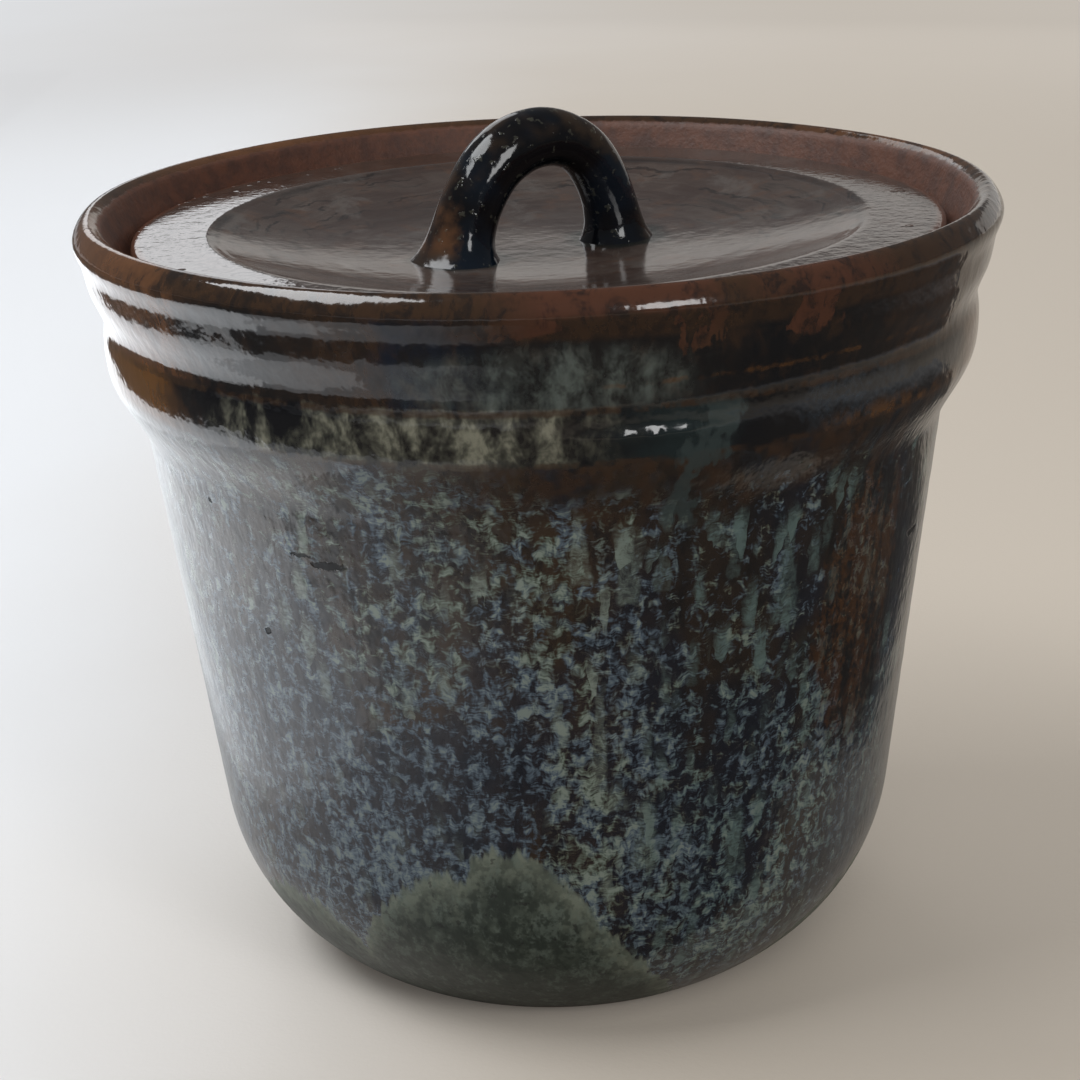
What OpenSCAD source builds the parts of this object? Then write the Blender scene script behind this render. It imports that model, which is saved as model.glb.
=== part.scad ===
// Lidded stoneware jar. A thrown jar with a rounded heel and a flared, ringed rim holds a sunken
// lid. The lid sits on a ledge inside the rim and lifts straight out by its arched handle.
// Millimetres, +Z up. The origin is on the table, at the centre of the foot.

/* [Jar] */
// Diameter over the lip
rim_d = 165; // [140:1:200]
// Height from the table to the crest of the lip
jar_h = 141; // [120:1:180]
// Diameter of the foot on the table
foot_d = 88; // [70:1:100]
// Height where the heel's curve meets the straight wall
heel_h = 30; // [22:1:40]
// Lean of the wall from upright, in degrees
wall_lean = 6.9; // [4:0.1:9]
// Thickness of the wall
wall_t = 5.5; // [4:0.1:7]
// Thickness of the floor
floor_t = 7; // [5:0.5:10]

/* [Foot ring] */
// Width of the ring that stands on the table
foot_ring_w = 8; // [5:0.5:14]
// Depth of the recess trimmed inside the ring
foot_recess = 2.5; // [1:0.5:4]
// Width of the recess's sloping edge
foot_slope_w = 1.5; // [0.5:0.5:3]

/* [Rim] */
// Thickness of the lip at its crest
lip_t = 5; // [4:0.1:7]
// Drop from the crest to the lip's widest line
lip_edge_drop = 3.2; // [2:0.1:4.5]
// Drop from the crest to the top of the belt under the lip
belt_drop = 7.6; // [6:0.1:9]
// Height of the belt
belt_h = 3.7; // [2:0.1:5]
// Inset of the belt's top from the lip's widest line
belt_inset = 1.2; // [0.8:0.1:2]
// How far the belt draws in from its top to its foot
belt_draw_in = 0.7; // [0.2:0.1:1.5]
// Drop from the crest to the groove
groove_drop = 18; // [15:0.1:19.5]
// Inset of the groove from the lip's widest line
groove_inset = 4.3; // [3:0.1:6]
// Drop from the crest to the fullest line of the ring
ring_drop = 21.4; // [20:0.1:26]
// Inset of the ring from the lip's widest line
ring_inset = 4; // [3:0.1:6]
// Height of the ring's upright face, from its fullest line to its lower edge
ring_h = 5.2; // [3:0.1:7]
// How far the ring draws in over its upright face
ring_draw_in = 0.3; // [0:0.1:1]
// Drop from the crest to the neck, where the wall begins
neck_drop = 39.2; // [34:0.1:44]
// Inset of the neck from the lip's widest line
neck_inset = 10.2; // [8:0.1:12]

/* [Lid ledge] */
// How far the inside of the rim draws in between the lip and the ledge
rim_draw_in = 3.9; // [1:0.1:5]
// Width of the ledge that carries the lid
ledge_w = 7.6; // [5:0.1:10]
// Thickness of the ledge at its inner edge
ledge_t = 4; // [3:0.1:5]

/* [Lid] */
// Drop from the crest of the lip to the lid's flat border
lid_drop = 5; // [3:0.1:7]
// Thickness of the lid where it rests on the ledge
lid_edge_t = 6; // [4:0.1:8]
// Radius of the lid's rounded edges
lid_edge_r = 1.4; // [0.5:0.1:1.8]
// Gap between the lid and the rim
lid_gap = 1.2; // [0.6:0.1:2]
// Width of the lid's flat border
border_w = 13.4; // [10:0.1:20]
// Height of the soft step from the border to the dish
step_h = 0.6; // [0.4:0.1:1.5]
// Width of that step
step_w = 2; // [1:0.1:4]
// Depth of the dish below the border, at its middle
dish_depth = 6.2; // [3:0.1:7]
// Depth of the boss below the ledge
boss_h = 7; // [4:0.1:9]
// Height of the boss's upright side, which keeps the lid centred
boss_side_h = 2; // [1:0.1:3]
// Gap between the boss and the ledge
boss_gap = 1.5; // [0.8:0.1:3]
// Width of the boss's sloping underside
boss_slope_w = 22; // [10:0.5:30]

/* [Handle] */
// Thickness of the coil
coil_d = 10.5; // [8:0.1:13]
// Distance between the middles of the two feet
handle_span = 31; // [26:0.5:40]
// Height of the handle above the middle of the dish
handle_rise = 25.4; // [22:0.1:32]
// How far each foot spreads beyond the coil
foot_flare = 2.6; // [1:0.1:3.5]
// How far the curve above each foot runs into the coil
fillet_bite = 0.6; // [0.4:0.1:1]
// Depth of the scored seat that each foot is luted into
seat_depth = 0.8; // [0.5:0.1:1.5]
// Thickness of the slip round each foot
slip_t = 0.1; // [0.05:0.01:0.2]

/* [Hidden] */
$fn = 64;
curve_steps = 5;
arc_steps = 12;

rim_r = rim_d / 2;
foot_r = foot_d / 2;

// Heights and radii down the outside of the rim
neck = [rim_r - neck_inset, jar_h - neck_drop];
ring = [rim_r - ring_inset, jar_h - ring_drop];
ring_low = ring - [ring_draw_in, ring_h];
groove = [rim_r - groove_inset, jar_h - groove_drop];
belt_top = [rim_r - belt_inset, jar_h - belt_drop];
belt_low = belt_top - [belt_draw_in, belt_h];
lip_edge = [rim_r, jar_h - lip_edge_drop];
crest = [rim_r - lip_t / 2, jar_h];
lip_inside = [rim_r - lip_t, jar_h - lip_edge_drop / 2];

// The heel is one arc, tangent to the wall at heel_h and ending on the table at the foot
wall_top = neck;
wall_foot = [wall_r(heel_h), heel_h];
wall_out = [cos(wall_lean), -sin(wall_lean)];
heel_chord = wall_foot - [foot_r, 0];
heel_r = heel_chord * heel_chord / (2 * (wall_out * heel_chord));
heel_centre = wall_foot - heel_r * wall_out;
heel_from = atan2(-heel_centre[1], foot_r - heel_centre[0]);
floor_top = foot_recess + floor_t;
heel_in_r = heel_r - wall_t;
heel_in_from = asin((floor_top - heel_centre[1]) / heel_in_r);

// The ledge inside the rim, and the lid on it
lid_top = jar_h - lid_drop;
ledge_z = lid_top - lid_edge_t;
ledge_out_r = rim_r - lip_t - rim_draw_in;
ledge_in_r = ledge_out_r - ledge_w;
lid_r = ledge_out_r - lid_gap;
boss_r = ledge_in_r - boss_gap;
dish_r = lid_r - border_w;
dish_floor_r = dish_r - step_w;
dish_mid_z = lid_top - dish_depth;
dish_hollow = dish_depth - step_h;

// The handle's middle line: a crown arc between two longer side arcs that start upright. The arcs
// meet on a line that runs 4 across for 3 up, which makes them tangent for any span and rise.
coil_r = coil_d / 2;
half_span = handle_span / 2;
arch_h = handle_rise - coil_r;
crown_r = (3 * half_span - arch_h) / 2;
side_r = crown_r + 2.5 * (arch_h - half_span);
meet_angle = atan2(3, 4);
foot_pad_r = coil_r + foot_flare;
fillet_r = foot_flare + fillet_bite;
foot_pad_top = dish_z(half_span + foot_pad_r);
seat_z = dish_mid_z - seat_depth;

function wall_r(z) = wall_top[0] - (wall_top[1] - z) * tan(wall_lean);
function dish_z(r) = dish_mid_z + dish_hollow * (r / dish_floor_r) ^ 3;
function arc(centre, r, from, to) =
    [for (i = [0 : arc_steps]) let (a = from + (to - from) * i / arc_steps) centre + r * [cos(a), sin(a)]];

// A smooth line through the points p, in steps of an even share of each stretch. The first and the
// last point only set the direction at the ends.
function stretch(p, i) = norm(p[i + 1] - p[i]);
function heading(p, i) =
    let (before = stretch(p, i - 1), after = stretch(p, i))
    (after * (p[i] - p[i - 1]) / before + before * (p[i + 1] - p[i]) / after) / (before + after);
function along(p, i, t) =
    (2 * t ^ 3 - 3 * t ^ 2 + 1) * p[i] + (t ^ 3 - 2 * t ^ 2 + t) * stretch(p, i) * heading(p, i)
    + (3 * t ^ 2 - 2 * t ^ 3) * p[i + 1] + (t ^ 3 - t ^ 2) * stretch(p, i) * heading(p, i + 1);
function smooth_line(p) =
    [for (i = [1 : len(p) - 3]) for (k = [0 : curve_steps - 1]) along(p, i, k / curve_steps)];

// The jar: one thrown piece, turned from the trimmed foot up the outside, over the lip and down the
// inside, with the ledge for the lid drawn from the same wall.
module jar_body() {
    below_neck = [wall_r(2 * neck[1] - ring[1]), 2 * neck[1] - ring[1]];
    outside = smooth_line([below_neck, neck, ring_low, ring, groove, belt_low, belt_top, lip_edge, crest,
                           lip_inside, [ledge_out_r, ledge_z]]);
    inside_neck = neck - [wall_t, 0];
    inside = smooth_line([[ledge_in_r, ledge_z - ledge_t], ring - [wall_t, 0], inside_neck,
                          below_neck - [wall_t, 0]]);
    color([0.23, 0.23, 0.26])
    rotate_extrude()
    polygon(concat(
        [[0, foot_recess], [foot_r - foot_ring_w - foot_slope_w, foot_recess], [foot_r - foot_ring_w, 0]],
        arc(heel_centre, heel_r, heel_from, -wall_lean),
        outside,
        [lip_inside, [ledge_out_r, ledge_z], [ledge_in_r, ledge_z], [ledge_in_r, ledge_z - ledge_t]],
        inside,
        [inside_neck],
        arc(heel_centre, heel_in_r, -wall_lean, heel_in_from),
        [[0, floor_top]]));
}

// The lid: a thrown disc with a flat border and a shallow dish, a boss underneath that keeps it
// centred in the ledge, and two scored seats for the feet of the handle.
module lid_disc() {
    dish = [for (i = [0 : arc_steps]) let (r = dish_floor_r * i / arc_steps) [r, dish_z(r)]];
    edge_centre = [lid_r - lid_edge_r, lid_top - lid_edge_r];
    color([0.24, 0.19, 0.18])
    difference() {
        rotate_extrude()
        polygon(concat(
            dish,
            [[dish_r, lid_top]],
            arc(edge_centre, lid_edge_r, 90, 0),
            [[lid_r, ledge_z + lid_edge_r / 2], [lid_r - lid_edge_r / 2, ledge_z],
             [boss_r, ledge_z], [boss_r, ledge_z - boss_side_h],
             [boss_r - boss_slope_w, ledge_z - boss_h], [0, ledge_z - boss_h]]));
        for (side = [-1, 1])
            translate([side * half_span, 0, seat_z])
            cylinder(r = foot_pad_r + slip_t, h = dish_depth + seat_depth);
    }
}

// The handle: one coil of clay bent into an arch, with its two feet spread and luted into the lid.
module coil_arc(r, sweep) {
    rotate([90, 0, 0])
    rotate([0, 0, meet_angle])
    rotate_extrude(angle = sweep)
    translate([r, 0])
    circle(r = coil_r);
}

module half_arch() {
    intersection() {
        translate([0, 0, dish_mid_z + arch_h - crown_r])
        coil_arc(crown_r, 90);
        translate([0, -handle_span, 0])
        cube([2 * handle_span, 2 * handle_span, 2 * jar_h]);
    }
    translate([half_span - side_r, 0, dish_mid_z])
    coil_arc(side_r, -meet_angle);
}

module spread_foot() {
    translate([0, 0, seat_z])
    cylinder(r = foot_pad_r, h = foot_pad_top - seat_z);
    translate([0, 0, foot_pad_top])
    rotate_extrude()
    difference() {
        square([foot_pad_r, fillet_r]);
        translate([foot_pad_r, fillet_r]) circle(r = fillet_r);
    }
}

module lid_handle() {
    color([0.06, 0.06, 0.07])
    for (side = [0, 1])
        mirror([side, 0, 0]) {
            half_arch();
            translate([half_span, 0, 0])
            spread_foot();
        }
}

jar_body();
lid_disc();
lid_handle();
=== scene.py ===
import math

import bpy
import numpy as np
from mathutils import Matrix, Vector


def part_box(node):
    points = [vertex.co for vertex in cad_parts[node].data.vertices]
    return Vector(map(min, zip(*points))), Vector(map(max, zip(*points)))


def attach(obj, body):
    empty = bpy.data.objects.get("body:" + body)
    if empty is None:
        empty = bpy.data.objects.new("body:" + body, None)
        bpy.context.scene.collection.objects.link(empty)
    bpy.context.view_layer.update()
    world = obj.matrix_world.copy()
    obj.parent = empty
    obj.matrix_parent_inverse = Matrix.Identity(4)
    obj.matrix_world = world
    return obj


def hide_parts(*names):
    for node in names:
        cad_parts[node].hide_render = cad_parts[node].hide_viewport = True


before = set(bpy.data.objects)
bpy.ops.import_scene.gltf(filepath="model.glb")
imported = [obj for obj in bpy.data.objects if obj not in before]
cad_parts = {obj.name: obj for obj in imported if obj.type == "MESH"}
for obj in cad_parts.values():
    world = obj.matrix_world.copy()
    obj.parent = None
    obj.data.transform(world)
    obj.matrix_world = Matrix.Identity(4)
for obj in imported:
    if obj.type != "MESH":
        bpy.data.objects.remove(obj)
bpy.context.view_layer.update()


# Jar body. One piece of dark stoneware, thrown on a wheel and trimmed at the foot, dipped in a reactive
# glaze that breaks to rust on the lip and runs in flecks down the wall. A second dip left pale hills at
# the foot. The foot ring and the ledge that the lid sits on are wiped bare, and the inside has a liner.
jar_low, jar_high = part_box("jar_body")
rim_r = jar_high[0] - 0.0003
jar_h = jar_high[2] - 0.0001
jar_foot = jar_low[2]
foot_r = 0.044
recess_r = 0.0345
recess_h = 0.0025
heel_h = 0.030
wall_t = 0.0055
floor_t = 0.007
lean = math.radians(6.9)
neck = (rim_r - 0.0099, jar_h - 0.0391)
ledge_z = jar_h - 0.0109
ledge_t = 0.004
ledge_in = 0.066
ledge_out = 0.0736
front_turn = math.radians(-27.5)
front = Vector((math.sin(front_turn), -math.cos(front_turn), 0.0))
side = Vector((math.cos(front_turn), math.sin(front_turn), 0.0))


def straight(start, end, step):
    """Points from start up to end, without end."""
    count = max(1, round(math.dist(start, end) / step))
    return [(start[0] + (end[0] - start[0]) * i / count, start[1] + (end[1] - start[1]) * i / count)
            for i in range(count)]


def swing(centre, radius, first, last, step):
    """Points on an arc from angle first up to angle last, without the last."""
    count = max(2, round(abs(last - first) * radius / step))
    turns = [first + (last - first) * i / count for i in range(count)]
    return [(centre[0] + radius * math.cos(t), centre[1] + radius * math.sin(t)) for t in turns]


def flowing(points, step):
    """A smooth line through all but the first and last point, which only set its direction."""
    line = []
    for before, start, end, after in zip(points, points[1:], points[2:], points[3:]):
        length = math.dist(start, end)

        def heading(a, b, c):
            left, right = math.dist(a, b), math.dist(b, c)
            return [((b[k] - a[k]) / left * right + (c[k] - b[k]) / right * left) / (left + right)
                    for k in (0, 1)]

        leave, arrive = heading(before, start, end), heading(start, end, after)
        count = max(2, round(length / step))
        for i in range(count):
            t = i / count
            line.append(tuple(start[k] * (1 + 2 * t) * (1 - t) ** 2 + leave[k] * length * t * (1 - t) ** 2
                              + end[k] * t * t * (3 - 2 * t) + arrive[k] * length * t * t * (t - 1)
                              for k in (0, 1)))
    return line


def softened(corners, step):
    """Straight runs between (r, z, softness) corners, each corner eased over its softness."""
    line = [corners[0][:2]]
    for before, at, after in zip(corners, corners[1:], corners[2:]):
        ease = at[2]
        enter = [at[k] + (before[k] - at[k]) * ease / math.dist(before[:2], at[:2]) for k in (0, 1)]
        leave = [at[k] + (after[k] - at[k]) * ease / math.dist(after[:2], at[:2]) for k in (0, 1)]
        line += straight(line[-1], enter, step)[1:]
        for i in range(6):
            t = i / 5
            line.append(tuple(enter[k] * (1 - t) ** 2 + 2 * at[k] * t * (1 - t) + leave[k] * t * t
                              for k in (0, 1)))
    return line + straight(line[-1], corners[-1][:2], step)[1:]


def turned(name, line, segments, relief):
    """A closed turned body from an outline that starts and ends on the axis, with its hand-made relief.

    The way along the outline is kept on the mesh as "along", for the edges of the glaze.
    """
    line = np.array(line)
    along = np.concatenate([[0.0], np.cumsum(np.hypot(*np.diff(line, axis=0).T))])
    ring = line[1:-1]
    rows = len(ring)
    turn = np.linspace(0.0, 2 * math.pi, segments, endpoint=False)
    r = np.repeat(ring[:, 0:1], segments, axis=1)
    z = np.repeat(ring[:, 1:2], segments, axis=1)
    t = np.repeat(turn[None, :], rows, axis=0)
    r, z = relief(r, z, t, np.repeat(along[1:-1, None], segments, axis=1))
    points = np.stack([r * np.cos(t), r * np.sin(t), z], axis=2).reshape(-1, 3)
    centre_z = [z[0].mean(), z[-1].mean()]
    points = np.concatenate([points, [[0, 0, centre_z[0]], [0, 0, centre_z[1]]]])
    k = np.arange(segments)
    k1 = (k + 1) % segments
    faces = []
    for row in range(rows - 1):
        a, b = row * segments, (row + 1) * segments
        faces += np.stack([a + k, a + k1, b + k1, b + k], axis=1).tolist()
    first, last = rows * segments, rows * segments + 1
    faces += [[first, int(j), int(i)] for i, j in zip(k, k1)]
    top = (rows - 1) * segments
    faces += [[last, int(top + i), int(top + j)] for i, j in zip(k, k1)]
    mesh = bpy.data.meshes.new(name)
    mesh.from_pydata(points.tolist(), [], faces)
    mesh.shade_smooth()
    way = mesh.attributes.new("along", "FLOAT", "POINT")
    way.data.foreach_set("value", np.concatenate([np.repeat(along[1:-1], segments), [0.0, along[-1]]]))
    mesh.update()
    piece = bpy.data.objects.new(name, mesh)
    bpy.context.scene.collection.objects.link(piece)
    return piece


heel_run = (neck[1] - heel_h) * math.tan(lean)
wall_foot = (neck[0] - heel_run, heel_h)
# The heel is an arc that meets the wall in line with it and ends on the foot's edge.
chord = (foot_r - wall_foot[0], -heel_h)
off = (-math.cos(lean), math.sin(lean))
heel_r = -(chord[0] ** 2 + chord[1] ** 2) / (2 * (chord[0] * -off[0] + chord[1] * -off[1]))
heel_c = (wall_foot[0] + off[0] * heel_r, wall_foot[1] + off[1] * heel_r)
heel_first = math.atan2(-heel_c[1], foot_r - heel_c[0])
heel_last = -lean
lead = 0.018
under_neck = (neck[0] - lead * math.tan(lean), neck[1] - lead)
rim_line = [under_neck, neck, (rim_r - 0.0040, jar_h - 0.0265), (rim_r - 0.0037, jar_h - 0.0213),
            (rim_r - 0.0040, jar_h - 0.0179), (rim_r - 0.0018, jar_h - 0.0112),
            (rim_r - 0.0011, jar_h - 0.0075), (rim_r, jar_h - 0.0031), (rim_r - 0.0025, jar_h),
            (rim_r - 0.0050, jar_h - 0.0016), (rim_r - 0.0056, jar_h - 0.006)]
inner_neck = (neck[0] - wall_t, neck[1])
inner_heel_r = heel_r - wall_t
floor_z = recess_h + floor_t
floor_turn = -math.pi / 2 + math.acos(min(1.0, (heel_c[1] - floor_z) / inner_heel_r))
ledge_under = ledge_z - ledge_t
inner_line = [(ledge_in, ledge_under - 0.001), (ledge_in, ledge_under), (rim_r - 0.0092, jar_h - 0.0213),
              inner_neck, (inner_neck[0] - lead * math.tan(lean), inner_neck[1] - lead)]
inner_foot = (heel_c[0] + inner_heel_r * math.cos(lean), heel_c[1] - inner_heel_r * math.sin(lean))

under_side = softened([(0.0, recess_h, 0), (recess_r, recess_h, 0.0008),
                       (recess_r + 0.0015, jar_foot, 0.0006), (foot_r - 0.0004, jar_foot, 0.0006),
                       (foot_r + 0.0006, jar_foot + 0.0012, 0)], 0.0018)
heel = swing(heel_c, heel_r, heel_first + 0.035, heel_last, 0.0009)
wall = straight(wall_foot, neck, 0.0009)
rim = flowing(rim_line, 0.00045)
inside_rim = softened([rim_line[-2] + (0,), (ledge_out, ledge_z, 0.0008), (ledge_in, ledge_z, 0.0006),
                       (ledge_in, ledge_under, 0.0004), (ledge_in + 0.0004, ledge_under - 0.0004, 0)],
                      0.0008)
inside_neck = flowing(inner_line, 0.0012)[1:]
inside_wall = straight(inner_neck, inner_foot, 0.0014)
inside_heel = swing(heel_c, inner_heel_r, heel_last, floor_turn, 0.0014)
floor_edge = heel_c[0] + inner_heel_r * math.cos(floor_turn)
inside_floor = straight((floor_edge, floor_z), (0.0, floor_z), 0.0018)
runs = [under_side, heel, wall, rim, inside_rim, inside_neck, inside_wall, inside_heel, inside_floor]
jar_line = [point for run in runs for point in run] + [(0.0, floor_z)]
jar_ways = np.concatenate([[0.0], np.cumsum(np.hypot(*np.diff(np.array(jar_line), axis=0).T))])
run_ends = np.cumsum([len(run) for run in runs])
way_heel, way_rim = jar_ways[run_ends[0]], jar_ways[run_ends[2]]
way_inside, way_liner = jar_ways[run_ends[3]], jar_ways[run_ends[4]]


def jar_relief(r, z, t, way):
    """Throwing rings, the slow wobble of a hand-thrown wall and the thick roll of glaze under the ring."""
    turn = np.arctan2(np.cos(t) * side.x + np.sin(t) * side.y, np.cos(t) * front.x + np.sin(t) * front.y)
    degrees = np.degrees(turn)
    outside = (way > way_heel) & (way < way_inside)
    inside = way > way_liner
    wobble = 0.00010 * np.sin(2 * t + 0.7) + 0.00006 * np.sin(3 * t + 2.1) + 0.00004 * np.sin(5 * t + 0.4)
    r = r + np.where(way > way_heel, (wobble - 0.0002) * np.clip(z / 0.06, 0, 1), 0.0)
    spiral = z / 0.0074 + t / (2 * math.pi)
    strength = np.clip((z - 0.018) / 0.03, 0, 1) * np.clip((0.104 - z) / 0.012, 0, 1)
    drift = 0.6 + 0.4 * np.sin(3 * t + 180 * z)
    rings = np.sin(2 * math.pi * spiral) + 0.5 * np.sin(2 * math.pi * (1.83 * spiral + 0.3))
    r = r + np.where(outside, 0.000025 * rings * strength * drift, 0.0)
    deep = np.clip((z - 0.012) / 0.02, 0, 1) * np.clip((0.118 - z) / 0.01, 0, 1)
    r = r + np.where(inside, 0.00028 * np.sin(2 * math.pi * (z / 0.0088 - t / (2 * math.pi))) * deep, 0.0)
    floor_spiral = np.sin(2 * math.pi * (r / 0.0065 + t / (2 * math.pi)))
    z = z + np.where(inside & (z < floor_z + 0.0004), 0.00025 * floor_spiral * np.clip(r / 0.01, 0, 1), 0.0)
    lip = np.clip(1 - np.abs(z - jar_h) / 0.006, 0, 1) * (way > way_rim)
    z = z - lip * (0.00012 + 0.00007 * np.sin(2 * t + 1.1) + 0.00005 * np.sin(7 * t))
    roll = np.exp(-((z - 0.1172) / 0.0013) ** 2) * np.exp(-((degrees - 11) / 8) ** 2)
    uneven = 0.6 + 0.25 * np.sin(np.radians(degrees) * 97 + 0.5) + 0.15 * np.sin(np.radians(degrees) * 160)
    r = r + np.where(outside, 0.00105 * roll * uneven, 0.0)
    return np.minimum(r, jar_high[0] - 0.00005), np.minimum(z, jar_high[2] - 0.00002)


jar_piece = turned("stoneware_jar", jar_line, 360, jar_relief)


class Wire:
    """A socket in a material. Sums and products of it and of numbers add Math nodes."""

    def __init__(self, tree, socket=None):
        self.tree = tree
        self.socket = socket

    def add(self, kind, settings, sockets, out=0):
        """One node: its settings first, then the values or links of its sockets, by name or number."""
        node = self.tree.nodes.new(kind)
        for name, value in settings.items():
            if name == "stops":
                ramp = node.color_ramp.elements
                while len(ramp) < len(value):
                    ramp.new(0.5)
                for stop, (place, colour) in zip(ramp, value):
                    stop.position = place
                    stop.color = (*colour, 1.0)
            else:
                setattr(node, name, value)
        for name, value in sockets.items():
            if isinstance(value, Wire):
                self.tree.links.new(value.socket, node.inputs[name])
            elif node.inputs[name].type == "RGBA":
                node.inputs[name].default_value = (*value, 1.0)
            else:
                node.inputs[name].default_value = value
        return Wire(self.tree, node.outputs[out] if node.outputs else None)

    def other(self, out):
        """Another output of the same node."""
        return Wire(self.tree, self.socket.node.outputs[out])

    def sum(self, operation, *values):
        return self.add("ShaderNodeMath", {"operation": operation}, dict(enumerate(values)))

    def __add__(self, other):
        return self.sum("ADD", self, other)

    def __radd__(self, other):
        return self.sum("ADD", other, self)

    def __sub__(self, other):
        return self.sum("SUBTRACT", self, other)

    def __rsub__(self, other):
        return self.sum("SUBTRACT", other, self)

    def __mul__(self, other):
        return self.sum("MULTIPLY", self, other)

    def __rmul__(self, other):
        return self.sum("MULTIPLY", other, self)

    def __truediv__(self, other):
        return self.sum("DIVIDE", self, other)

    def __pow__(self, other):
        return self.sum("POWER", self, other)

    def __abs__(self):
        return self.sum("ABSOLUTE", self)

    def most(self, other):
        return self.sum("MAXIMUM", self, other)

    def least(self, other):
        return self.sum("MINIMUM", self, other)

    def rise(self, low, high):
        """0 at low and 1 at high, eased between them; low may be the larger one."""
        return self.add("ShaderNodeMapRange", {"interpolation_type": "SMOOTHSTEP"},
                        {"Value": self, "From Min": low, "From Max": high})

    def vector(self, operation, *values, out=0):
        return self.add("ShaderNodeVectorMath", {"operation": operation}, dict(enumerate(values)), out)

    def spaced(self, x, y, z):
        return self.vector("MULTIPLY", self, (x, y, z))

    def shifted(self, x, y, z):
        return self.vector("ADD", self, (x, y, z))

    def moved(self, other):
        return self.vector("ADD", self, other)

    def raised(self, z):
        return self.moved(self.add("ShaderNodeCombineXYZ", {}, {"Z": z}))

    def unit(self):
        return self.vector("NORMALIZE", self)

    def length(self):
        return self.vector("LENGTH", self, out="Value")

    def along(self, direction):
        return self.vector("DOT_PRODUCT", self, direction, out="Value")

    def cloud(self, scale, detail=2.0, rough=0.5, warp=0.0):
        return self.add("ShaderNodeTexNoise", {"noise_dimensions": "3D"},
                        {"Vector": self, "Scale": scale, "Detail": detail, "Roughness": rough,
                         "Distortion": warp}, "Fac")

    def mixed(self, under, over):
        """The colour over laid on the colour under, by this mask."""
        return self.add("ShaderNodeMix", {"data_type": "RGBA"}, {0: self, 6: under, 7: over}, 2)


def finish(name, ior):
    """A new material with its shader, and a wire to build it from."""
    material = bpy.data.materials.new(name)
    material.use_nodes = True
    tree = material.node_tree
    shader = tree.nodes["Principled BSDF"]
    shader.inputs["IOR"].default_value = ior
    return material, Wire(tree), shader


def coat(wire, shader, colour, rough, height, depth):
    """The colour, roughness and relief of a finish go to its shader."""
    bump = wire.add("ShaderNodeBump", {}, {"Strength": 1.0, "Distance": depth, "Height": height})
    for socket, value in (("Base Color", colour), ("Roughness", rough), ("Normal", bump)):
        wire.tree.links.new(value.socket, shader.inputs[socket])


black = (0.005, 0.005, 0.006)
soot = (0.009, 0.0075, 0.007)
navy = (0.007, 0.010, 0.018)
umber = (0.036, 0.019, 0.010)
bronze = (0.034, 0.021, 0.012)
rust = (0.105, 0.046, 0.020)
brick = (0.062, 0.025, 0.014)
amber = (0.105, 0.046, 0.013)
tawny = (0.066, 0.027, 0.008)
olive = (0.080, 0.080, 0.060)
olive_brown = (0.046, 0.037, 0.024)
cream = (0.180, 0.214, 0.182)
straw = (0.205, 0.200, 0.150)
slate = (0.042, 0.060, 0.080)
haze = (0.080, 0.108, 0.137)
lichen = (0.094, 0.120, 0.098)
verdigris = (0.086, 0.128, 0.122)
sage = (0.160, 0.182, 0.140)
moss = (0.046, 0.059, 0.044)
sea_green = (0.105, 0.125, 0.113)
dark_moss = (0.019, 0.026, 0.019)
teal = (0.030, 0.042, 0.042)
dark_teal = (0.011, 0.018, 0.019)
clay = (0.092, 0.034, 0.018)
dark_clay = (0.055, 0.023, 0.015)
liner = (0.032, 0.019, 0.014)


def bare_clay(place):
    """The colour of unglazed clay, mottled, with a few dark grains."""
    mottled = place.cloud(240.0, 3.0, 0.65).rise(0.35, 0.7).mixed(clay, dark_clay)
    return (place.cloud(900.0, 1.0, 0.5).rise(0.62, 0.72) * 0.35).mixed(mottled, umber)


def every(shape, places):
    """The same shape at each of the places, as one mask."""
    mask = shape(*places[0])
    for at in places[1:]:
        mask = mask.most(shape(*at))
    return mask


def around(wire, turn, stops):
    """Colours set round the jar, by degrees from the front."""
    return wire.add("ShaderNodeValToRGB", {"stops": [((d + 180) / 360, colour) for d, colour in stops]},
                    {"Fac": (turn + 180.0) / 360.0}, "Color")


jar_glaze, wire, shader = finish("reactive_glaze", 1.55)
place = wire.add("ShaderNodeTexCoord", {}, {}, "Object")
way = wire.add("ShaderNodeAttribute", {"attribute_name": "along"}, {}, "Fac")
height = place.along((0, 0, 1000.0))
turn = wire.sum("ARCTAN2", place.along(side), place.along(front)) * math.degrees(1)

# Wandering values that fray the edges of the glaze and lead its runs.
fray = place.cloud(90.0, 3.0, 0.6) - 0.5
fine_fray = place.spaced(1, 1, 0.4).cloud(520.0, 2.0, 0.6) - 0.5
drag = place.spaced(1, 1, 0.16).cloud(260.0, 3.0, 0.6) - 0.5
ragged_turn = turn + fray * 14.0 + fine_fray * 6.0
ragged_height = height + fray * 4.0 + fine_fray * 2.0


def spot(at_turn, at_height, half_turn, half_height, edge=0.25):
    """A frayed patch of the glaze, by its place and half sizes in degrees and millimetres."""
    across = (ragged_turn - at_turn) / half_turn
    upward = (ragged_height - at_height) / half_height
    return (across * across + upward * upward).rise(1.0 + edge, 1.0 - edge)


# The dark field, bronze where the glaze is thin and blue where it pooled lower down.
bronze_cloud = place.spaced(1, 1, 0.55).cloud(170.0, 3.0, 0.65)
blue_cloud = place.spaced(1, 1, 0.5).cloud(70.0, 2.0, 0.5)
right_side = turn.rise(4, 18) * turn.rise(75, 55)
field = (bronze_cloud.rise(0.34, 0.62) * (1 - right_side * 0.6)).mixed(soot, bronze)
field = ((blue_cloud + height.rise(95, 45) * 0.22).rise(0.50, 0.72) * 0.7).mixed(field, navy)

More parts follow.
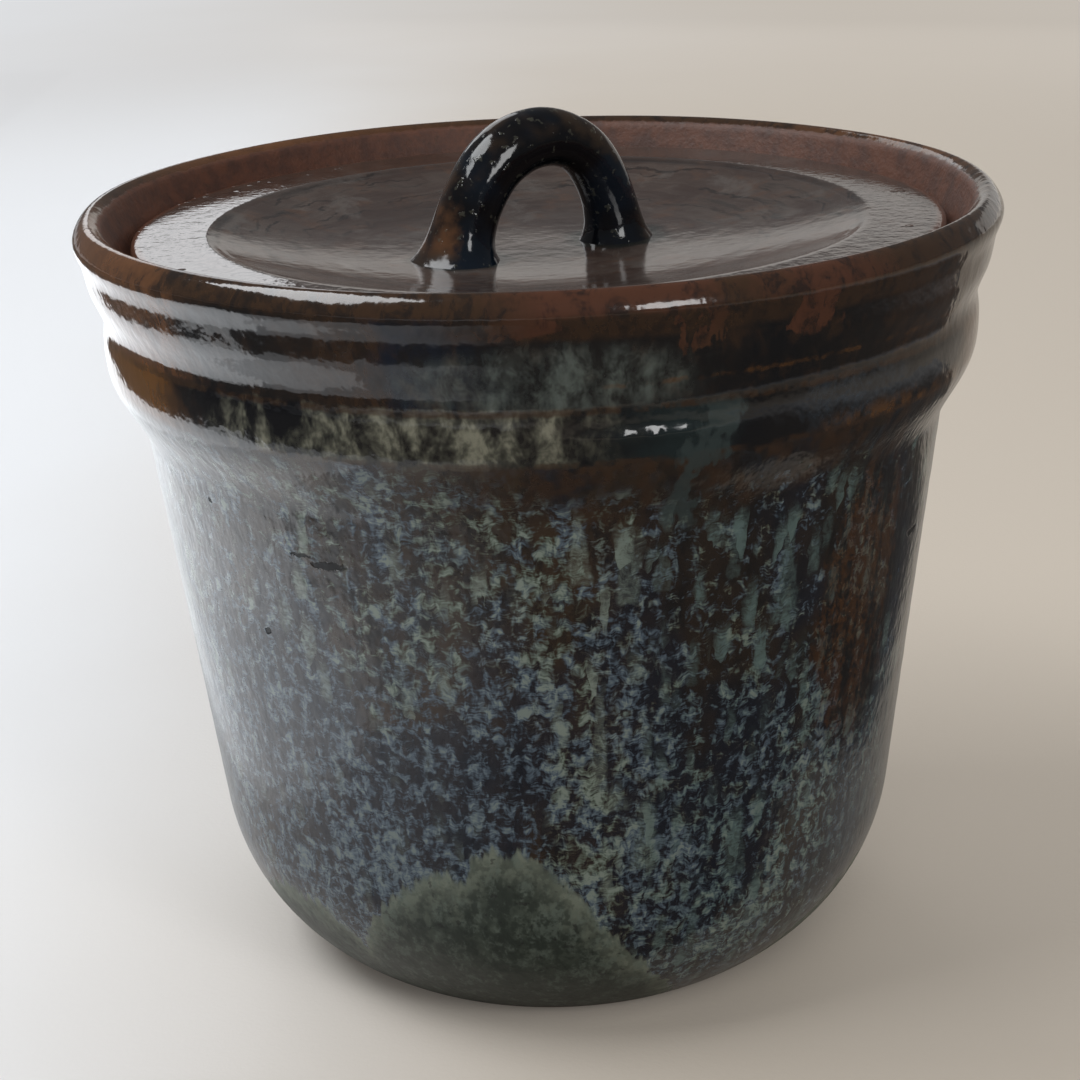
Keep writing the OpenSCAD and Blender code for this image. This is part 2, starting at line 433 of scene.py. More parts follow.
# Flecks that curdled and slid down the wall: soft lumps with a bright lower edge, broken by fine strokes.
# They lie on the unrolled wall, stirred a little.
wall_r = 0.068
wall_at = place.spaced(1, 1, 0).unit().spaced(wall_r, wall_r, 0).raised(way)
eddy = wall_at.spaced(450, 450, 300)
eddy = eddy.add("ShaderNodeTexNoise", {}, {"Vector": eddy, "Scale": 1.0, "Detail": 1.0, "Roughness": 0.5},
                "Color")
wall_at = wall_at.moved(eddy.shifted(-0.5, -0.5, -0.5).spaced(0.0018, 0.0018, 0.0026))
curds = wall_at.spaced(1050, 1050, 750).cloud(1.0, 3.0, 0.7)
hatch = wall_at.spaced(600, 600, 3000).cloud(1.0, 1.0, 0.5) - 0.5
clump = wall_at.spaced(280, 280, 230).cloud(1.0, 1.0, 0.5) - 0.5
thick = place.spaced(1, 1, 0.45).cloud(80.0, 2.0, 0.5) - 0.5
lumps_at = wall_at.spaced(390, 390, 265)
lumps = lumps_at.cloud(1.0, 3.0, 0.66)
curl = lumps - lumps_at.shifted(0, 0, -0.30).cloud(1.0, 3.0, 0.66)
strokes = wall_at.spaced(560, 560, 110).cloud(1.0, 2.0, 0.6) - 0.5
blue_side = (height + fray * 20.0).rise(84, 56) * (turn + fray * 12.0).rise(6, -8)

# A few larger drips among them, each faint at its top and round below.
drip_wide, drip_tall = 0.0024, 0.0100
drip_at = wall_at.spaced(1 / drip_wide, 1 / drip_wide, 1 / drip_tall)
cell = drip_at.add("ShaderNodeTexVoronoi", {"feature": "F1"}, {"Vector": drip_at, "Scale": 1.0}, "Position")
gap = drip_at.vector("SUBTRACT", drip_at, cell)
apart = gap.spaced(1, 1, 0).length()
below = gap.along((0, 0, -1))
picked = cell.other("Color").along((1, 0, 0)).rise(0.68 - right_side * 0.35, 1.05)
drips = below.rise(-0.60, 0.30) * below.rise(0.80, 0.38) * apart.rise(0.95, 0.20) * picked

# Long pale runs at the front, each thin at its top and rounded off where it stopped.
run_turn = turn + fray * 3.0 + fine_fray * 1.6


def run(at_turn, top, bottom, half_turn):
    """One run of pale glaze, from its top to its lower end in millimetres."""
    width = half_turn * (0.45 + 0.55 * height.rise(top, bottom))
    across = (abs(run_turn - at_turn) / width).rise(1.25, 0.55)
    lower_end = (height + fine_fray * 2.0).rise(bottom - 0.5, bottom + 0.6)
    return across * lower_end * (height + fray * 6.0).rise(top + 3.0, top - 3.0)


pale = every(run, [
    (3.5, 105, 91, 1.6), (9.5, 101, 87, 2.0), (14, 96, 89, 1.5), (24.5, 101, 89, 1.3), (32.5, 96, 79, 2.2),
    (5.8, 73, 53, 1.5), (8.5, 56, 49, 2.2), (12, 50, 37, 2.4), (27, 47, 32, 2.8), (20, 27, 14, 1.8),
    (-14, 92, 85, 1.4), (19, 80, 71, 1.4), (-26, 69, 63, 1.6), (-72, 80, 62, 2.4), (-96, 98, 76, 2.6),
    (-133, 62, 44, 2.6), (78, 88, 64, 2.4), (120, 84, 66, 2.6), (148, 99, 80, 2.4), (172, 70, 50, 2.6)])

# The flecks laid on from dark to light, denser or thinner from zone to zone, and amber where the runs broke.
below_neck = (height + fray * 10.0 - turn.rise(4, -14) * 6.0).rise(109.0, 101.0)
bright = (lumps - 0.5) * 2.3 + curl * 2.4 + strokes * 1.9 + hatch * 1.4 + thick * 1.3 - right_side * 0.16
bright = bright + 0.08
for *zone, more in ((-2, 84, 16, 18, 0.12), (26, 36, 26, 26, 0.18), (-16, 60, 18, 15, -0.10),
                    (20, 92, 17, 15, -0.20), (40, 90, 12, 20, -0.10), (9, 63, 9, 11, 0.12),
                    (63, 84, 9, 30, -0.45)):
    bright = bright + spot(*zone, 0.9) * more
colour = (bright.rise(-0.35, 0.45) * (0.12 + below_neck * 0.65)).mixed(
    field, (clump + blue_side * 0.25 + right_side * 0.10).rise(-0.06, 0.10).mixed(olive_brown, slate))
fleck_hue = (blue_cloud + clump * 0.9 + blue_side * 0.3 - right_side * 0.06).rise(0.36, 0.66)
fleck_tint = fleck_hue.mixed((right_side * height.rise(80, 60)).mixed(lichen, verdigris), haze)
colour = (bright.rise(-0.05, 0.65) * below_neck * 0.95).mixed(colour, fleck_tint)
creamy = bright.rise(0.40, 1.0) * below_neck * (0.9 - right_side * 0.2 - blue_side * 0.3)
colour = creamy.mixed(colour, cream)
clots = (drips + pale * 0.5) * (0.10 + curds * 1.5 + hatch * 0.8) * (1.0 + thick * 1.4)
clots = clots.rise(0.08, 1.0) * below_neck * (0.85 - blue_side * 0.6)
colour = clots.mixed(colour, right_side.mixed(cream, verdigris))
amber_run = spot(49, 78, 9, 28, 0.4).most(spot(-150, 70, 9, 26, 0.5)).most(spot(108, 96, 9, 14, 0.5))
amber_run = amber_run * (drag * 1.4 + curds * 0.2).rise(0.62, -0.05)
veil = spot(62, 34, 14, 30, 0.9)
colour = (veil * (0.45 + drag)).mixed(colour, slate)
colour = (amber_run * 0.9).mixed(colour, (curds + drag * 1.6).rise(0.38, 0.66).mixed(soot, tawny))
neck_mottle = place.spaced(1, 1, 0.6).cloud(260.0, 2.0, 0.6)
brown_neck = (height + fray * 10.0).rise(100.0, 106.0) * (ragged_turn + 20.0).rise(0, 12)
colour = (brown_neck * neck_mottle.rise(0.42, 0.66) * 0.8).mixed(colour, umber)

# The ring, where black glaze breaks to amber, straw and olive.
mottle = place.spaced(1, 1, 0.7).cloud(230.0, 3.0, 0.65, 0.2)
ring_colour = around(wire, ragged_turn, [
    (-180, umber), (-140, navy), (-115, soot), (-90, umber), (-74, amber), (-54, amber), (-50, umber),
    (-46, black), (-27, black), (-22, soot), (2, soot), (5, black), (15, dark_teal), (22, black), (34, soot),
    (44, soot), (62, soot), (75, amber), (95, black), (125, soot), (150, navy), (180, umber)])
straw_zone = ragged_turn.rise(-47, -36) * ragged_turn.rise(11, -4)
straw_zone = straw_zone.most(spot(128, 117, 20, 9, 0.5)).most(spot(-112, 117, 18, 9, 0.5))
straw_patch = mottle + (117.0 - height) * 0.012 + turn.rise(-36, -22) * 0.08 - 0.03
straw_patch = straw_zone * straw_patch.rise(0.38, 0.70)
straw_tint = (mottle + curds * 0.6).rise(0.70, 1.05).mixed(olive, straw)
ring_colour = (straw_patch * 0.85).mixed(ring_colour, straw_tint)
lilac = (curds * 0.6 + curl + mottle * 0.5 + 0.15).rise(0.35, 1.2) * spot(39, 117, 8, 7, 0.95)
ring_colour = (lilac * 0.55).mixed(ring_colour, slate)
low_amber = (height + fray * 3.0).rise(117, 113) * ragged_turn.rise(30, 40) * mottle.rise(0.60, 0.40)
ring_colour = (low_amber * 0.8).mixed(ring_colour, amber)
ring_zone = (height + fine_fray * 1.2 + fray * 1.2).rise(112.6, 113.6)
colour = ring_zone.mixed(colour, ring_colour)

# The belt above it, nearly black, with a grey-green haze at the front.
belt_colour = around(wire, ragged_turn, [
    (-180, umber), (-150, rust), (-110, umber), (-76, rust), (-48, rust), (-43, black), (-32, soot),
    (-20, umber), (-16, navy), (-4, black), (4, soot), (14, soot), (26, black), (38, soot), (60, umber),
    (80, umber), (110, black), (140, umber), (180, umber)])
green_haze = spot(1, 126.5, 15, 5.5, 0.9) * (mottle * 1.0 + drag * 1.0 + curds * 0.3).rise(0.30, 1.10)
belt_colour = (mottle.rise(0.45, 0.70) * 0.6).mixed(belt_colour, umber)
belt_colour = green_haze.mixed(belt_colour, sea_green)
belt_zone = (height + fine_fray * 1.2).rise(121.8, 122.8)
colour = belt_zone.mixed(colour, belt_colour)

# The lip, thin and brown to rust, with short drips below it.
lip_colour = around(wire, ragged_turn, [
    (-180, umber), (-135, rust), (-100, umber), (-76, rust), (-52, rust), (-45, umber), (-22, umber),
    (-8, umber), (0, brick), (14, brick), (20, umber), (28, brick), (36, brick), (44, umber), (60, umber),
    (85, umber), (115, rust), (150, umber), (180, umber)])
lip_drips = every(spot, [(17, 134.5, 1.4, 4), (31.5, 134.5, 3.0, 4), (-4, 136, 5, 2), (105, 134, 3, 4),
                         (-120, 134, 3, 4)])
under_lip = (height + fray * 2.0).rise(132.8, 134.2) * ragged_turn.rise(-16, -6)
colour = (under_lip * 0.75).mixed(colour, umber)
lip_zone = (height + fine_fray * 1.4 + fray * 1.5).rise(136.6, 137.8).most(lip_drips)
colour = lip_zone.mixed(colour, lip_colour)
dark_break = place.spaced(1, 1, 0.6).cloud(300.0, 3.0, 0.7, 0.4).rise(0.44, 0.66) * height.rise(121, 123)
dark_break = dark_break * (0.35 + turn.rise(-58, -46) * 0.65)
colour = (dark_break * 0.75).mixed(colour, soot)

# Thin brown breaks along the raised edges, the amber line in the crease and one long teal run.
belt_edge = abs(height + fine_fray * 0.9 - 121.7).rise(0.8, 0.2)
ring_edge = abs(height + fine_fray * 0.9 - 113.4).rise(0.8, 0.2)
edge_break = belt_edge.most(ring_edge)
colour = (edge_break * mottle.rise(0.38, 0.55) * 0.7).mixed(colour, umber)
amber_line = abs(height + fine_fray * 1.2 - 125.7).rise(0.6, 0.15) * ragged_turn.rise(2, 9)
colour = (amber_line * mottle.rise(0.40, 0.60) * 0.4).mixed(colour, amber)
run_line = abs(ragged_turn - 17.0 - (height - 110.0) * 0.16).rise(2.4, 0.8)
run_line = run_line * height.rise(98, 102) * height.rise(123, 120)
colour = (run_line * 0.8).mixed(colour, teal)


# A crawled spot and two pinholes on the left, and a few at the back.
def nick(at_turn, at_height, half_turn, half_height):
    """A small bare spot, by its place and half sizes in degrees and millimetres."""
    across = (run_turn - at_turn) / half_turn
    upward = (height + fine_fray * 1.6 + fray * 2.0 - at_height) / half_height
    return (across * across + upward * upward).rise(1.3, 0.6)


nicks = every(nick, [(-30, 93.0, 2.6, 0.7), (-34, 94.2, 1.6, 0.4), (-51.5, 99.3, 0.5, 0.5),
                     (-43.5, 77.7, 0.55, 0.5), (64, 84, 2.2, 0.6), (-160, 90, 2.4, 0.6)])
colour = (nicks * 0.9).mixed(colour, black)

# The second dip at the foot, with its pale fringe, and painted shade low in the dip on the left side.
dip_turn = turn + fray * 5.0


def hill(at_turn, top, left, right):
    """How high the second dip reaches: a rounded hill that falls away to each side."""
    gap = dip_turn - at_turn
    before, after = gap.least(0.0), gap.most(0.0)
    return top - before * before * left - after * after * right


dip_line = every(hill, [(-10.5, 42.5, 0.25, 0.062), (-18, 36, 0.060, 0.02), (-50, 24, 0.03, 0.040),
                        (72, 20, 0.015, 0.03), (118, 40, 0.03, 0.04), (-110, 36, 0.03, 0.03),
                        (168, 22, 0.03, 0.06)])
feather = place.spaced(1, 1, 0.12).cloud(620.0, 2.0, 0.6) - 0.5
dip_edge = dip_line - height + fine_fray * 2.0 + drag * 6.0 + feather * 7.0
dipped = dip_edge.rise(-0.8, 1.2)
fringe = dip_edge.rise(11.0, -1.0) * (0.85 + drag * 1.0 + fray * 0.8 + feather * 0.9)
dip_colour = fringe.mixed(height.rise(26, 9).mixed(moss, dark_moss), sage)
dip_blotch = place.spaced(1, 1, 0.7).cloud(190.0, 3.0, 0.7)
dip_mottle_and_painted_shade = dip_blotch.rise(0.44, 0.60) * (0.95 - fringe * 0.9)
# Lower in the dip on the left of the front, more dark moss is added as painted shade.
dip_mottle_and_painted_shade = dip_mottle_and_painted_shade + turn.rise(-5, -40) * dip_edge.rise(1, 8) * 0.5
dip_colour = dip_mottle_and_painted_shade.mixed(dip_colour, dark_moss)
dip_lichen = (curds + fine_fray * 0.6 + clump * 0.8).rise(0.42, 0.72) * (0.55 + fringe * 0.3)
dip_colour = dip_lichen.mixed(dip_colour, lichen)
dip_grain = place.cloud(420.0, 3.0, 0.70).rise(0.45, 0.60) * (0.85 - fringe * 0.65)
dip_colour = dip_grain.mixed(dip_colour, dark_moss)
dip_pits = place.cloud(520.0, 2.0, 0.6).rise(0.64, 0.70)
dip_colour = (dip_pits * 0.6).mixed(dip_colour, soot)
colour = dipped.mixed(colour, dip_colour)

# Bare clay at the foot and on the ledge, and the liner inside.
bare_foot = (way + fine_fray * 0.0012).rise(way_heel + 0.0022, way_heel + 0.0012)
bare_ledge = (way + fine_fray * 0.0010 + fray * 0.0012).rise(way_inside - 0.0014, way_inside - 0.0004)
lined = (way + fine_fray * 0.0015).rise(way_liner - 0.0006, way_liner + 0.0006)
liner_colour = place.spaced(1, 1, 2.2).cloud(60.0, 4.0, 0.6).rise(0.35, 0.7).mixed(liner, soot)
liner_colour = (place.cloud(500.0, 2.0, 0.5).rise(0.62, 0.72) * 0.5).mixed(liner_colour, umber)
bare = bare_foot.most(bare_ledge * (1 - lined))
colour = bare.mixed(lined.mixed(colour, liner_colour), bare_clay(place))

gloss = 0.10 + drag * 0.08 + height.rise(113, 108) * 0.10 + nicks * 0.4
gloss = gloss + dipped * (0.26 + fine_fray * 0.12) * (1 - lined)
rough = gloss + bare * (0.60 - gloss) + lined * (1 - bare) * 0.12
peel = place.cloud(330.0, 2.0, 0.5)
ripple = place.spaced(1, 1, 0.5).cloud(800.0, 1.0, 0.5) * 0.35 + drag * 0.25
clay_grain = bare * place.cloud(1100.0, 2.0, 0.6) * 0.5
relief = peel * 0.55 + ripple * height.rise(113, 110) - nicks * 1.2 + clay_grain
coat(wire, shader, colour, rough, relief, 0.00022)
jar_piece.data.materials.append(jar_glaze)
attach(jar_piece, "jar")
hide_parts("jar_body")


# Lid. A thrown disc with a flat border and a shallow dish, glazed thin and brown on top. Its rim's edge
# and the boss underneath that keeps it centred in the mouth are left as bare clay.
lid_low, lid_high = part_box("lid_disc")
lid_r = lid_high[0] - 0.0001
lid_top = lid_high[2] - 0.0001
dish_r = 0.059
dish_floor_r = 0.057
dish_z = 0.1298
boss_r = 0.0645
boss_z = lid_low[2] + 0.0001

dish = []
dish_steps = 58
for i in range(dish_steps):
    radius = dish_floor_r * i / dish_steps
    dish.append((radius, dish_z + (lid_top - 0.0006 - dish_z) * (radius / dish_floor_r) ** 3))
lid_up = flowing([dish[-2], dish[-1], (dish_floor_r + 0.0002, lid_top - 0.00052), (dish_r, lid_top),
                  (dish_r + 0.001, lid_top)], 0.0004)
lid_edge = softened([(dish_r, lid_top, 0), (lid_r, lid_top, 0.0014), (lid_r, ledge_z, 0.0012),
                     (boss_r, ledge_z, 0.0006), (boss_r, boss_z + 0.005, 0.001), (0.0425, boss_z, 0.004),
                     (0.0, boss_z, 0)], 0.0009)
lid_line = (dish[:-1] + lid_up + lid_edge)[::-1]


def lid_relief(r, z, t, way):
    """Faint turning rings in the dish and below, and a border that isn't quite flat."""
    top = z > ledge_z + 0.001
    dished = top & (r < dish_floor_r)
    rings = np.sin(2 * math.pi * (r / 0.0052 + t / (2 * math.pi))) * np.clip((r - 0.004) / 0.01, 0, 1)
    z = z + np.where(dished, 0.000008 * rings * np.clip((dish_floor_r - r) / 0.01, 0, 1), 0.0)
    border = top & (r > dish_floor_r)
    sway = np.sin(2 * t + 0.5) + 0.6 * np.sin(3 * t + 2.0) + 0.4 * np.sin(7 * t + 1.0)
    z = z - np.where(border, 0.00008 + 0.00004 * sway, 0.0) * np.clip((z - ledge_z) / 0.004, 0, 1)
    under = z < boss_z + 0.004
    z = z + np.where(under, 0.00015 + 0.00012 * np.sin(2 * math.pi * (r / 0.006 - t / (2 * math.pi))), 0.0)
    return np.minimum(r, lid_r), z


lid_piece = turned("stoneware_lid", lid_line, 320, lid_relief)
lid_glaze, wire, shader = finish("thin_lid_glaze", 1.55)
place = wire.add("ShaderNodeTexCoord", {}, {}, "Object")
height = place.along((0, 0, 1000.0))
flat = place.spaced(1, 1, 0)
radius = flat.length() * 1000.0
fray = place.cloud(110.0, 3.0, 0.6) - 0.5
fine_fray = place.cloud(520.0, 2.0, 0.6) - 0.5
ash_brown = (0.064, 0.048, 0.040)
dark_brown = (0.034, 0.021, 0.017)
fox_brown = (0.070, 0.036, 0.022)
pale_ash = (0.088, 0.076, 0.068)
pooled_and_painted_reflection_black = (0.012, 0.015, 0.013)

# Wiping marks run round the dish: stretched far along the turn and fine across it.
outward = flat.unit()
round_dish = outward.spaced(1.6, 1.6, 0).raised((radius + fray * 5.0) * 0.30)
wiped = round_dish.cloud(1.0, 3.0, 0.65, 0.3)
cloudy = place.cloud(45.0, 3.0, 0.6)
colour = (wiped * 0.6 + cloudy * 0.6).rise(0.42, 0.80).mixed(dark_brown, ash_brown)
streak = wiped.rise(0.54, 0.70) * radius.rise(16, 40)
colour = (streak * 0.6).mixed(colour, soot)
lines = outward.spaced(2.6, 2.6, 0).raised((radius + fray * 9.0) * 0.55)
lines = lines.cloud(1.0, 2.0, 0.6, 0.4).rise(0.585, 0.635) * radius.rise(24, 44)
colour = (lines * 0.75).mixed(colour, soot)
colour = (place.cloud(150.0, 3.0, 0.7).rise(0.50, 0.72) * 0.6).mixed(colour, fox_brown)
patches = place.cloud(75.0, 4.0, 0.65, 0.5)
colour = (patches.rise(0.52, 0.66) * 0.55).mixed(colour, pale_ash)
colour = (patches.rise(0.46, 0.34) * 0.60).mixed(colour, dark_brown)

# Near black round the handle's feet, partly glaze pooled there and partly painted reflection of the legs, and
# thin glaze along the dish's edge, the border and the rim.
foot_gap = abs(place.along((1000.0, 0, 0))) - 16.0
foot_side = place.along((0, 1000.0, 0))
# Near black round both feet: pooled glaze together with painted reflection of the handle's legs.
puddle_and_painted_reflection = ((foot_gap * foot_gap + foot_side * foot_side) ** 0.5 + fray * 7.0 + fine_fray * 2.0).rise(10.5, 7.5)
colour = (puddle_and_painted_reflection * height.rise(127.5, 128.5) * 0.85).mixed(colour, pooled_and_painted_reflection_black)
edge_line = abs(radius + fray * 3.0 + fine_fray - 57.6).rise(1.5, 0.1) * cloudy.rise(0.40, 0.60)
colour = (edge_line * 0.6).mixed(colour, soot)
border_zone = (radius + fray * 0.8).rise(58.0, 59.2)
colour = (border_zone * 0.6).mixed(colour, liner)
rim_break = (radius + fine_fray * 1.0).rise(70.2, 71.4)
colour = (rim_break * 0.7).mixed(colour, clay)
bare = (height + fine_fray * 0.8).rise(134.0, 133.0) * (radius + fine_fray).rise(58.5, 60.0)
bare = bare.most((height + fine_fray * 0.3).rise(129.0, 128.4))
colour = bare.mixed(colour, bare_clay(place))
gloss = 0.13 + (wiped - 0.5) * 0.12 - border_zone * 0.05
rough = gloss + bare * (0.62 - gloss)
blister = place.add("ShaderNodeTexVoronoi", {"feature": "F1"}, {"Vector": place, "Scale": 330.0}, "Distance")
blister = blister.rise(0.30, 0.10) * place.cloud(60.0, 1.0, 0.5).rise(0.55, 0.62) * radius.rise(65, 67)
relief = place.cloud(260.0, 2.0, 0.5) * 0.25 + border_zone * place.cloud(620.0, 2.0, 0.6) * 0.22
relief = relief + wiped * 0.12 * (1 - border_zone) + blister * 0.9 + bare * place.cloud(1100.0, 3.0, 0.6)
coat(wire, shader, colour, rough, relief, 0.00022)
lid_piece.data.materials.append(lid_glaze)
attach(lid_piece, "lid")
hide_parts("lid_disc")


# Lid handle. A rolled coil of the same clay, bent into an arch while soft and luted to the dish with
# slip, its feet thumbed out onto the lid. The black glaze breaks brown along the outer side.
handle_low, handle_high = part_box("lid_handle")
coil_r = 0.00525
half_span = 0.0155
arch_top = handle_high[2] - coil_r - 0.0001
arch_h = 0.02015
arch_base = arch_top - arch_h
crown_r = half_span * 0.85
side_r = half_span * 1.6
crown_z = arch_top - crown_r
bend = math.atan2(3, 4)
side_c = (crown_r - side_r) * math.cos(bend)
side_z = crown_z + (crown_r - side_r) * math.sin(bend)

arch = []
leg_steps, crown_steps = 26, 36
reach = math.asin((arch_base - 0.0004 - side_z) / side_r)
for i in range(leg_steps):
    a = reach + (bend - reach) * i / leg_steps
    arch.append((side_c + side_r * math.cos(a), side_z + side_r * math.sin(a)))
for i in range(crown_steps + 1):
    a = bend + (math.pi / 2 - bend) * i / crown_steps
    arch.append((crown_r * math.cos(a), crown_z + crown_r * math.sin(a)))
arch = np.array(arch + [(-x, z) for x, z in arch[-2::-1]])
heading = np.gradient(arch, axis=0)
heading /= np.hypot(*heading.T)[:, None]
around_n = 64
ring_turn = np.linspace(0, 2 * math.pi, around_n, endpoint=False)
points = []
for (x, z), (hx, hz) in zip(arch, heading):
    out = np.array([hz, 0.0, -hx])
    if out[0] * x + out[2] * (z - arch_base) < 0:
        out = -out
    rise = z - arch_base
    flare = np.exp(-max(0.0, rise + 0.0002) / 0.0026)
    leg = 1.0 + (0.05 if x < 0 else -0.09) * min(1.0, abs(x) / 0.006)
    # Thumbed feet: wider on the outer side, with a drawn-out smear on the right one.
    outward = np.cos(ring_turn)
    if x < 0:
        spread = 0.0030 + 0.0012 * outward + 0.0004 * np.sin(3 * ring_turn)
    else:
        spread = 0.0023 + 0.0007 * outward + 0.0003 * np.sin(2 * ring_turn + 1)
        smear = np.exp(-(np.angle(np.exp(1j * (ring_turn - 0.5))) / 0.35) ** 2)
        spread = spread + 0.0045 * smear * flare ** 2
    lump = 1 + 0.018 * np.sin(2 * ring_turn + 90 * x) + 0.012 * np.sin(3 * ring_turn - 160 * z + 1)
    radius_here = coil_r * leg * lump + spread * flare
    outer = outward[:, None] * out[None, :] + np.sin(ring_turn)[:, None] * np.array([0, 1.0, 0])
    lean_x = 0.0008 * np.clip(rise / arch_h, 0, 1) ** 1.5
    points.append(np.array([x + lean_x, -0.0004 * rise / arch_h, z]) + outer * radius_here[:, None])
points = np.array(points)
points[..., 2] = np.clip(points[..., 2], handle_low[2] + 0.0001, handle_high[2] - 0.00005)
rows = len(points)
faces = []
k = np.arange(around_n)
k1 = (k + 1) % around_n
for row in range(rows - 1):
    a, b = row * around_n, (row + 1) * around_n
    faces += np.stack([a + k, b + k, b + k1, a + k1], axis=1).tolist()
flat = points.reshape(-1, 3)
ends = np.array([points[0].mean(axis=0), points[-1].mean(axis=0)])
n = len(flat)
faces += [[n, int(i), int(j)] for i, j in zip(k, k1)]
faces += [[n + 1, int((rows - 1) * around_n + j), int((rows - 1) * around_n + i)] for i, j in zip(k, k1)]
mesh = bpy.data.meshes.new("coil_handle")
mesh.from_pydata(np.concatenate([flat, ends]).tolist(), [], faces)
mesh.shade_smooth()
handle_piece = bpy.data.objects.new("coil_handle", mesh)
bpy.context.scene.collection.objects.link(handle_piece)

handle_glaze, wire, shader = finish("black_handle_glaze", 1.44)
place = wire.add("ShaderNodeTexCoord", {}, {}, "Object")
fray = place.cloud(160.0, 3.0, 0.6) - 0.5
fine_fray = place.cloud(620.0, 2.0, 0.6) - 0.5
from_arch = place.shifted(0, 0, -arch_base - 0.004).spaced(1, 0, 1.1)
outer_side = from_arch.length() * 1000.0
ink = (0.003, 0.003, 0.004)
blue_black = (0.004, 0.007, 0.012)
tint = place.cloud(90.0, 2.0, 0.5).rise(0.42, 0.62)
colour = tint.mixed(ink, blue_black)
broken = (outer_side + fray * 8.0 + fine_fray * 3.0).rise(18.0, 21.5)
broken = broken * place.cloud(110.0, 2.0, 0.6).rise(0.34, 0.66)
colour = (broken * 0.8).mixed(colour, bronze)
rusty = place.along((-1000.0, 0, 0)).rise(15, 20) * place.along((0, 0, 1000.0)).rise(131, 134) * broken
colour = (rusty * 0.7).mixed(colour, rust)
specks = place.cloud(700.0, 2.0, 0.5).rise(0.62, 0.70)
colour = (specks * 0.35).mixed(colour, olive)
rough = 0.07 + (fray + 0.5) * 0.05 + broken * 0.06
relief = place.cloud(300.0, 2.0, 0.5) * 0.6 + specks * 0.15
coat(wire, shader, colour, rough, relief, 0.00022)
handle_piece.data.materials.append(handle_glaze)
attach(handle_piece, "lid")
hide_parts("lid_handle")


# Camera. A long lens a little above the rim, turned so that the handle's left foot comes forward.
aim = Vector((0.0, 0.0, 0.07025))
lift = math.radians(19.48)
back = front * math.cos(lift) + Vector((0, 0, math.sin(lift)))
up = back.cross(side)
roll = math.radians(2.142)
camera_data = bpy.data.cameras.new("photo_camera")
sensor = 36.0
photo_px, focal_px = 1080, 2300
camera_data.sensor_width = sensor
camera_data.sensor_fit = "HORIZONTAL"
camera_data.lens = sensor * focal_px / photo_px
camera_data.clip_start = 0.01
camera = bpy.data.objects.new("photo_camera", camera_data)
eye = aim - side * 0.00172 + up * 0.00370 + back * 0.4342
turned_side = side * math.cos(roll) - up * math.sin(roll)
turned_up = side * math.sin(roll) + up * math.cos(roll)
camera.matrix_world = Matrix(((turned_side.x, turned_up.x, back.x, eye.x),
                              (turned_side.y, turned_up.y, back.y, eye.y),
                              (turned_side.z, turned_up.z, back.z, eye.z), (0, 0, 0, 1)))
bpy.context.scene.collection.objects.link(camera)
bpy.context.scene.camera = camera


# Table. A wide pale top that the jar stands on, cool white on the left as painted window light and buff on
# the right as painted shade. To the camera it glows. Near the jar the glow is faint, a painted lift of the
# jar's shadow. From 0.7 to 1.5 m out its colour turns into painted light alone, glowing in the same cool
# white and buff.
def beside(right, ahead, height):
    """A place by the jar, as the camera sees it: to the right, further away and up, in metres."""
    return side * right - front * ahead + Vector((0, 0, height))


table_rings = [0.3, 0.9, 2.5, 7.0]
table_sides = 48
table_z = -0.0001
table_points = [(0.0, 0.0, table_z)]
table_turns = [2 * math.pi * i / table_sides for i in range(table_sides)]
table_points += [(r * math.cos(a), r * math.sin(a), table_z) for r in table_rings for a in table_turns]
table_faces = []
for i in range(table_sides):
    j = (i + 1) % table_sides
    table_faces.append((0, 1 + i, 1 + j))
    for inner in range(1, 1 + table_sides * (len(table_rings) - 1), table_sides):
        outer = inner + table_sides
        table_faces.append((inner + i, outer + i, outer + j, inner + j))
mesh = bpy.data.meshes.new("pale_table")
mesh.from_pydata(table_points, [], table_faces)
table = bpy.data.objects.new("pale_table", mesh)
bpy.context.scene.collection.objects.link(table)
table_finish, wire, shader = finish("pale_table_top", 1.4)
place = wire.add("ShaderNodeTexCoord", {}, {}, "Object")
grain = place.cloud(6.0, 2.0, 0.5)
across = place.along(side) + (grain - 0.5) * 0.06
# Paler cool white on the left is painted window light, and buff on the right is painted shade.
painted_lit_white, painted_shade_buff = (0.70, 0.72, 0.75), (0.47, 0.415, 0.35)
colour = across.rise(-0.19, 0.04).mixed(painted_lit_white, painted_shade_buff)
far_glow_mask = place.spaced(1, 1, 0).length().rise(0.7, 1.5)
seen = wire.add("ShaderNodeLightPath", {}, {}, "Is Camera Ray")
far_painted_lit_white, far_painted_shade_buff = (0.74, 0.76, 0.79), (0.53, 0.485, 0.43)
far_painted_light = across.rise(-0.7, 0.3).mixed(far_painted_lit_white, far_painted_shade_buff)
# For camera rays the table glows. Near the jar this is a faint painted lift of the jar's shadow, and far out
# it is painted light.
unlit, shade_lift = (0, 0, 0), (0.065, 0.060, 0.053)
glow = seen.mixed(unlit, far_glow_mask.mixed(shade_lift, far_painted_light))
wire.tree.links.new(glow.socket, shader.inputs["Emission Color"])
shader.inputs["Emission Strength"].default_value = 1.0
colour = (far_glow_mask * seen).mixed(colour, unlit)
coat(wire, shader, colour, grain * 0.1 + 0.55, place.cloud(900.0, 2.0, 0.5), 0.00005)
mesh.materials.append(table_finish)


